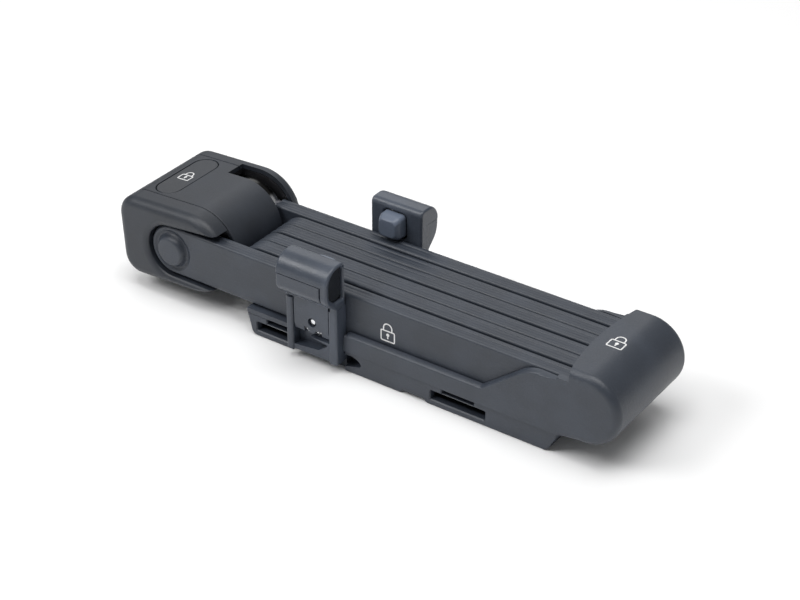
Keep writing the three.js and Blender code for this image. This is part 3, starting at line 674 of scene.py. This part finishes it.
postLow, postHigh = boxMm("near_catch_post")
farLow, farHigh = boxMm("far_catch_post")
catch = {
    "nearX": (postLow[0] + postHigh[0]) / 2, "farX": (farLow[0] + farHigh[0]) / 2,
    "wide": postHigh[0] - postLow[0], "top": postHigh[2], "out": -postLow[1] - stackHalf,
    "legLow": postLow[2],
    "finLeft": 3.6, "finRight": 4.5, "front": 7.4, "gap": 0.6, "shell": 1.8, "seam": 45.6, "shellLow": 33.0,
    "heel": {"near": (38.5, 5.0), "far": (38.5, 10.5)}, "ring": 3.2,  # heel: height and roundness
    "pivotOut": 4.3, "pivotZ": 16.2, "low": 17.9, "studZ": 21.2, "studR": 1.5,
    "padZ": (38.3, 49.5), "padIn": 5.6, "padWide": 11.2, "padX": 0.7,
}


def trayPiece():
    outline, share = trayOutline()
    stations = softEnds(-tray["out"], tray["out"], tray["rimR"], tray["rimR"], 8)
    piece = slab("tray_and_nose", outline, "y", stations, share)
    inside = slab("inside", innerOutline(), "y", [(-tray["in"], 0), (tray["in"], 0)])
    trims = [block("trim", (-200, x), sorted((side * (foot["half"] + 0.1), side * 40)), (-10, 20))
             for x, side in ((catch["nearX"], -1), (catch["farX"], 1))]
    slant = [(-9, -10), (2.3, -10), (0.1, tray["under"] - 0.3), (-0.4, 30), (-9, 30)]
    slope = slab("slope", [(tray["left"] + x, z) for x, z in slant], "y", [(-60, 0), (60, 0)])
    cut(piece, inside, mouthTool(), postRoom(catch["nearX"], -1), postRoom(catch["farX"], 1), slope, *trims)
    return finishPiece(piece, "bracket", bracketPlastic, ["bracket_body"], None, 28)


# the foot under the tray
def strapWayShade(paint):
    # painted shade: the insides of the strap and buckle slots, told by where the surface lies, are coloured near
    # black
    x, y, z = paint.axis(0), paint.axis(1), paint.axis(2)
    edge = foot["slot"][0] / 2
    inside = paint.between(paint.size(y), foot["shade"][0] * mm, foot["shade"][1] * mm)
    near = [paint.between(paint.size(x - middle * mm), (edge + 0.9) * mm, (edge + 0.3) * mm)
            for middle in foot["straps"]]
    return inside * paint.between(z, 1.6 * mm, 2.4 * mm) * (near[0] + near[1])


# the foot's plastic, with painted shade inside its strap and buckle slots
footPlastic = plastic("footPlastic", strapWayShade)


def footPiece():
    left, right, top, side = foot["left"], foot["right"], foot["top"], foot["half"]
    outline = rounded([(left, top), (left + 2.6, 0, 3.2), (3.6, 0, 1.2), (4.8, 1.4, 1.2), (15.6, 1.4, 1.2),
                       (16.8, 0, 1.2), (right - 4.6, 0, 2.6), (right + 0.6, top)], 8)
    piece = slab("foot", outline, "y", softEnds(-side, side, foot["edge"], foot["edge"], 4))
    flare = foot["flare"]
    lips = [(-side - 3, -flare), (-side, -flare), (-side + 0.5, 0), (side - 0.5, 0),
            (side, -flare), (side + 3, -flare)]
    for x in foot["straps"]:
        for (wide, tall), z in ((foot["slot"], foot["slotZ"]), (foot["buckle"], foot["buckleZ"])):
            way = rounded([(x - wide / 2, z, 0.5), (x + wide / 2, z, 0.8), (x + wide / 2, z + tall, 0.5),
                           (x - wide / 2, z + tall, 0.5)], 4)
            cut(piece, slab("strapWay", way, "y", lips))
    arch = [(-0.6, 2.2), (-0.6, 7.9), (1.6, 8.5), (3.4, 8.65), (5.2, 8.4), (7.0, 7.6),
            (8.3, 6.5), (8.8, 5.2), (7.9, 4.4)]
    for x, out in ((catch["nearX"], -1), (catch["farX"], 1)):
        edge = x - out * (catch["wide"] / 2 + 0.3)
        depth = sorted((out * 40, out * foot["scallopIn"]))
        scallop = [(edge - out * d, z) for d, z in arch]
        cut(piece, slab("scallop", scallop, "y", [(depth[0], 0), (depth[1], 0)]))
        room = sorted((out * foot["roomIn"], out * 40))
        cut(piece, block("room", (x - foot["roomHalf"], x + foot["roomHalf"]), room, (-5, 30)))
    return finishPiece(piece, "bracket", footPlastic, ["mounting_foot"])


trayPiece()
footPiece()
print("tray, nose and foot done")


# the two spring catches, drawn for the near side with the links' face at y = 0
def catchOutline(side, inset=0.0):
    top, out = catch["top"] - inset, -catch["out"] + inset
    heel, heelR = catch["heel"][side]
    inner, front = -catch["gap"] - inset, -catch["front"] + inset
    low = catch["shellLow"] - 1.4
    return rounded([(inner, low), (inner, top, 2.6 - inset * 0.6), (out, top, 7.9 - inset * 0.6),
                    (out, heel + inset, max(5, heelR - inset * 1.4)),
                    (front, catch["shellLow"] - 0.6 + inset, 0.8),
                    (front, low)], 10)


postHalf = catch["wide"] / 2
finLeft, finRight = -postHalf + catch["finLeft"], postHalf - catch["finRight"]


def plateOutline(grow=0.0):
    low = catch["low"] - grow
    left, right = (finLeft, finRight) if grow else (finLeft + 0.3, finRight - 0.3)
    top = catch["shellLow"] + 1.5
    return [(left, low), (-2.8 - grow, low), (-2.1 - grow, low - 0.7), (-1.3, low - 2.0 - grow / 3),
            (0.5, low - 2.2 - grow / 3), (1.4, low - 1.6), (2.4 + grow, low), (right, low),
            (right, top), (left, top)]


def postFins(front, gap):
    fins = []
    top = catch["shellLow"] - 0.9
    # faces a hair apart, so that the pieces join cleanly
    for xs in ((-postHalf + 0.02, finLeft), (finRight, postHalf - 0.02)):
        face, back = front - 0.015, gap - 0.02
        fin = rounded([(xs[0], face, 1.1), (xs[1], face, 1.1), (xs[1], back), (xs[0], back)], 6)
        low = catch["legLow"]
        stations = [(low, 0.5), (low + 0.15, 0.15), (low + 0.5, 0), (top, 0)]
        fins.append(slab("fin", fin, "z", stations))
    return fins


def endOutline(side, inset):
    # the sunk face at the right end of the shell
    heel, heelR = catch["heel"][side]
    inner, out, top = -catch["gap"] - inset + 1.3, -catch["out"] + inset, catch["top"] - inset + 0.5
    low = heel - 2.6 + (inset - 2.4)
    return rounded([(inner, low, 0.6), (inner, top, 2.2), (out, top, 6),
                    (out, heel + inset - 1.0, heelR * 0.6), (-catch["front"], low, 1.2)], 8)


# a near-black sheet set into the hollow end of the near shell, painted shade standing in for the hollow's darkness
def endShadeSheet(side, place):
    stations = [(postHalf - 2.9, 0), (postHalf - 1.7, 0), (postHalf - 1.35, 0.5), (postHalf - 1.2, 1.2)]
    shadeSheet = slab(f"{side}_end_shade_sheet", endOutline(side, 2.5), "x", stations)
    return finishPiece(shadeSheet, "bracket", endShadePlastic, (), place, 50)


def postTools(side, front, gap):
    shell, seam, low = catch["shell"], catch["seam"], catch["shellLow"]
    ringX = postHalf - catch["ring"]
    inside = slab("inside", catchOutline(side, shell), "x", [(-postHalf + shell, 0), (ringX, 0)])
    cut(inside, block("keep", (-60, 60), (-60, 60), (-10, low - 2)))
    hollowEnd = slab("hollowEnd", endOutline(side, 2.4), "x", flared(postHalf - 2.6, postHalf, 1.3))
    opening = block("opening", (-postHalf - 3, ringX), (-40, front + 1.6), (low - 2.4, seam))
    slit = block("slit", (-postHalf + shell, ringX), (-40, gap - shell), (low - 2.1, seam - 3))
    well = block("well", (finLeft, finRight), (-catch["pivotOut"] - 2.4, gap - shell),
                 (catch["pivotZ"] - 2.4, low))
    notch = slab("notch", plateOutline(0.35), "y", [(front - 1, 0), (gap - shell, 0)])
    scoop = rounded([(finLeft, 7.0, 0.3), (3.2, 8.5, 0.8), (finRight - 0.5, 12.4, 0.5),
                     (finLeft, 15.0, 0.3)], 5)
    scoopTool = slab("scoop", scoop, "y", [(front - 2, 0), (gap - 1.6, 0)])
    wide, middle = catch["padWide"] / 2 + 0.5, catch["padX"]
    sill, head = catch["padZ"][0] - 1, catch["padZ"][1] + 0.5
    window = rounded([(middle - wide, sill, 2.0), (middle + wide, sill, 2.0), (middle + wide, head, 2.3),
                      (middle - wide, head, 2.3)], 8)
    rim = [(-5, 0), (gap - 0.7, 0), (gap - 0.2, -0.3), (gap, -0.7), (gap + 3, -0.7)]
    windowTool = slab("window", window, "y", rim)
    studWay = hole(catch["studR"] + 0.15, "y", (0, 0, catch["studZ"]), 32, -4, 1)
    return [inside, hollowEnd, opening, slit, well, notch, scoopTool, windowTool, studWay]


def catchPost(side, place):
    front, gap = -catch["front"], -catch["gap"]
    piece = slab(f"{side}_post", catchOutline(side), "x", softEnds(-postHalf, postHalf, 1.1, 1.1, 6))
    rise = (catch["legLow"] + 0.3, catch["shellLow"] - 0.7)
    middle = block("middle", (-postHalf + 1, postHalf - 1), (front + 0.85, gap - 0.04), rise, 0.2)
    join(piece, middle, *postFins(front, gap))
    cut(piece, *postTools(side, front, gap))
    return finishPiece(piece, "bracket", catchPlastic, [f"{side}_catch_post"], place, 30)


def padPiece(side, place):
    # a soft-cornered pad that narrows towards the links
    (z0, z1), wide, tip = catch["padZ"], catch["padWide"] / 2, catch["padIn"]
    sections = []
    steps = ((-1.4, 0.0, 1.8), (tip - 3.2, 0.1, 1.9), (tip - 2.2, 0.45, 2.0), (tip - 1.0, 1.05, 2.1),
             (tip - 0.45, 1.4, 2.2), (tip - 0.12, 1.8, 2.2), (tip, 2.3, 2.1))
    for y, inset, corner in steps:
        low, high, across = z0 + inset, z1 - inset * 0.8, wide - inset * 0.75
        flat = rounded([(-across, low, corner), (across, low, corner),
                        (across, high, corner), (-across, high, corner)], 8)
        sections.append((y, [(x + catch["padX"], z) for x, z in flat]))
    pad = lofted(f"{side}_pad", "y", sections)
    return finishPiece(pad, f"{side}_catch", padPlastic, (), place, 50)


def catchLever(side, place):
    shell, seam, low = catch["shell"], catch["seam"], catch["shellLow"]
    front, padLow, pivotZ = -catch["front"], catch["padZ"][0], catch["pivotZ"]
    pivot = (0, -catch["pivotOut"], pivotZ)
    reach = (-postHalf + 0.25, postHalf - catch["ring"] - 0.75)
    piece = slab(f"{side}_lever", catchOutline(side), "x", softEnds(*reach, 1.0, 0.6, 5))
    inner = slab("inner", catchOutline(side, shell), "x", [(-postHalf + shell, 0), (reach[1] + 1, 0)])
    cut(piece, inner, block("top", (-60, 60), (-60, 60), (seam - 0.35, 90)),
        block("back", (-60, 60), (front + 1.4, 60), (0, 90)),
        block("under", (-60, 60), (-60, 60), (0, low - 1)))
    plate = slab("plate", plateOutline(), "y", softEnds(front + 0.75, front + 2.0, 0.25, 0, 2))
    web = block("web", (-2, 2), (-catch["out"] + 1, -1.6), (padLow + 1.4, seam - 1))
    brace = block("brace", (-4, 4), (front + 0.4, front + 2), (low - 1, padLow + 1))
    neck = block("neck", (-4, 4), (front + 0.4, -0.4), (padLow + 0.2, padLow + 4))
    knuckles = []
    for span in ((finLeft + 0.3, -4.6), (4.6, finRight - 0.3)):
        rod = turned("rod", [(0, span[0]), (1.7, span[0]), (1.7, span[1]), (0, span[1])], "x", pivot, 40)
        bridge = block("bridge", span, (front + 1.2, -catch["pivotOut"]), (pivotZ + 0.6, pivotZ + 3.4))
        knuckles += [rod, bridge]
    join(piece, plate, brace, web, neck, *knuckles)
    bore = hole(0.9, "x", pivot, 32, -40, 40)
    eye = [(0, -20), (2.5, -20), (2.5, front), (2.15, front + 0.5), (2.15, -4), (0, -4)]
    cut(piece, bore, turned("studHole", eye, "y", (0, 0, catch["studZ"]), 40))
    padPiece(side, place)
    nodes = [f"{side}_catch_lever"]
    return finishPiece(piece, f"{side}_catch", catchPlastic, nodes, place, 30)


def catchStud(side, place):
    front = -catch["front"]
    radius = catch["studR"]
    profile = [(0, front + 1.35), (0.7, front + 1.38), (1.15, front + 1.5), (radius, front + 1.9),
               (radius, -0.9), (0, -0.9)]
    piece = turned(f"{side}_stud", profile, "y", (0, 0, catch["studZ"]), 48)
    return finishPiece(piece, "bracket", chrome, [f"{side}_catch_stud"], place)


for side, x in (("near", catch["nearX"]), ("far", catch["farX"])):
    place = Matrix.Translation((x, -stackHalf, 0))
    if side == "far":
        place = Matrix.Translation((x, stackHalf, 0)) @ Matrix.Rotation(math.pi, 4, "Z")
    catchPost(side, place)
    catchLever(side, place)
    catchStud(side, place)
    if side == "near":
        # the painted shade sheet goes only in the near hollow end
        endShadeSheet(side, place)
print("catches done")


# a plain padlock sign on the flap, link 1 and the nose
def signPiece(name, body, size, place, roundR=0.0, shift=0.0):
    # shackle, case and keyhole of a plain padlock on z = 0, or wrapped round a drum of radius roundR
    thick, proud = 0.62, 0.06
    layers = [(-2 * proud / size, 0), (proud / size, 0)]
    case = rounded([(-4, -5, 0.9), (4, -5, 0.9), (4, 1, 0.9), (-4, 1, 0.9)], 6)
    piece = slab(name, case, "z", layers)
    hollow = slab("hollow", grown(case, -thick), "z", [(-1, 0), (1, 0)])
    bow = arc((0, 2.2), 2.6, 0, 180, 24) + [(-2.6, 0.7), (-2.6 + thick, 0.7)]
    bow += arc((0, 2.2), 2.6 - thick, 180, 0, 24) + [(2.6 - thick, 0.7), (2.6, 0.7)]
    shackle = slab("shackle", bow, "z", layers)
    dot = slab("dot", arc((0, -1.4), 0.85, 0, 345, 23), "z", layers)
    slot = slab("slot", [(-0.32, -3.4), (0.32, -3.4), (0.32, -1.6), (-0.32, -1.6)], "z", layers)
    cut(piece, hollow)
    join(piece, shackle, dot, slot)
    piece.data.transform(Matrix.Scale(size, 4))
    if roundR:
        work = bmesh.new()
        work.from_mesh(piece.data)
        bmesh.ops.subdivide_edges(work, edges=work.edges, cuts=2)
        bmesh.ops.triangulate(work, faces=work.faces)
        for vert in work.verts:
            along, radius = vert.co.x / mm + shift, roundR + vert.co.z / mm
            angle = max(0, along) / roundR
            across, up = radius * math.sin(angle) + min(0, along), radius * math.cos(angle)
            vert.co = Vector((across, vert.co.y / mm, up)) * mm
        work.to_mesh(piece.data)
        work.free()
    return finishPiece(piece, body, signWhite, (), place)


signs = {
    # body, size of one drawing unit, place, then the radius it wraps round and its shift along it
    "sign_key": ("key_cover", 0.78,
                 headPlace @ Matrix.Translation((flap["u"], flap["y"], head["top"] - flap["sunk"]))),
    "sign_link": ("link_1", 0.92,
                  Matrix.Translation((-4.5, -stackHalf, linkZ + 0.2)) @ Matrix.Rotation(math.pi / 2, 4, "X")),
    "sign_nose": ("bracket", 0.9,
                  Matrix.Translation((tray["noseX"], 0.4, tray["noseZ"])), tray["noseR"], -1.2),
}
for name, row in signs.items():
    signPiece(name, *row)
print("signs done")


# finishes for the pieces carried over as they are
carried = {
    "hard_steel": hardSteel, "chrome": chrome, "brass": brass, "spring_steel": springSteel,
    "soft_plastic": linkPlastic, "head_plastic": headPlastic, "bracket_plastic": bracketPlastic,
}
slotOf = {row["node"]: row["material_slot"] for row in frame["record"]["subparts"]}
for name, node in frame["nodes"].items():
    finish = darkSteel if name == "head_core" else carried[slotOf[name]]
    node.data.materials.clear()
    node.data.materials.append(finish)
print("carried pieces finished")


# floor, light and camera
studio = {
    "floor": 0.92, "reach": 6000, "sky": 0.26,
    "cameraAt": (0.3921, -0.5844, 0.4754), "pitch": 57.7, "yaw": 34.9, "lens": 88.56,
}


def floorPiece():
    paint = Paint("floorPaint", Specular_IOR_Level=0.1)
    tone = paint.noise(3, 2)
    paint.feed("Base Color", paint.blend(tone, shade(studio["floor"]), shade(studio["floor"] * 0.99)))
    paint.feed("Roughness", 0.9 + (tone - 0.5) * 0.05)
    reach = studio["reach"]
    corners = [(-reach, -reach, 0), (reach, -reach, 0), (reach, reach, 0), (-reach, reach, 0)]
    floor = meshPiece("floor", corners, [(0, 1, 2, 3)])
    floor.data.materials.append(paint.material)


def areaLight(name, place, aim, size, power):
    data = bpy.data.lights.new(name, "AREA")
    data.shape, data.size, data.size_y = "RECTANGLE", size[0], size[1]
    data.energy = power
    light = bpy.data.objects.new(name, data)
    light.location = place
    light.rotation_euler = (Vector(aim) - Vector(place)).to_track_quat("-Z", "Y").to_euler()
    bpy.context.scene.collection.objects.link(light)


def skyLight():
    world = bpy.data.worlds.new("studio")
    world.use_nodes = True
    world.node_tree.nodes["Background"].inputs["Color"].default_value = (1, 1, 1, 1)
    world.node_tree.nodes["Background"].inputs["Strength"].default_value = studio["sky"]
    bpy.context.scene.world = world


def cameraPiece():
    data = bpy.data.cameras.new("camera")
    data.lens, data.sensor_width = studio["lens"], 36
    data.clip_start, data.clip_end = 0.01, 50
    camera = bpy.data.objects.new("camera", data)
    camera.location = studio["cameraAt"]
    camera.rotation_euler = (math.radians(studio["pitch"]), 0, math.radians(studio["yaw"]))
    bpy.context.scene.collection.objects.link(camera)
    bpy.context.scene.camera = camera


lights = {
    # where it stands, what it points at and its size in metres, its power in watts
    "key": ((-0.62, -0.68, 0.92), (0, 0, 0.03), (0.55, 0.45), 6.5),
    "back": ((-0.62, 0.95, 0.75), (0, 0, 0.03), (0.9, 0.5), 2.6),
    "overhead": ((0.1, -0.1, 1.5), (0, 0, 0), (1.2, 0.9), 17),
}
floorPiece()
skyLight()
for name, row in lights.items():
    areaLight(name, *row)
cameraPiece()
bpy.context.scene.view_settings.view_transform = "Standard"
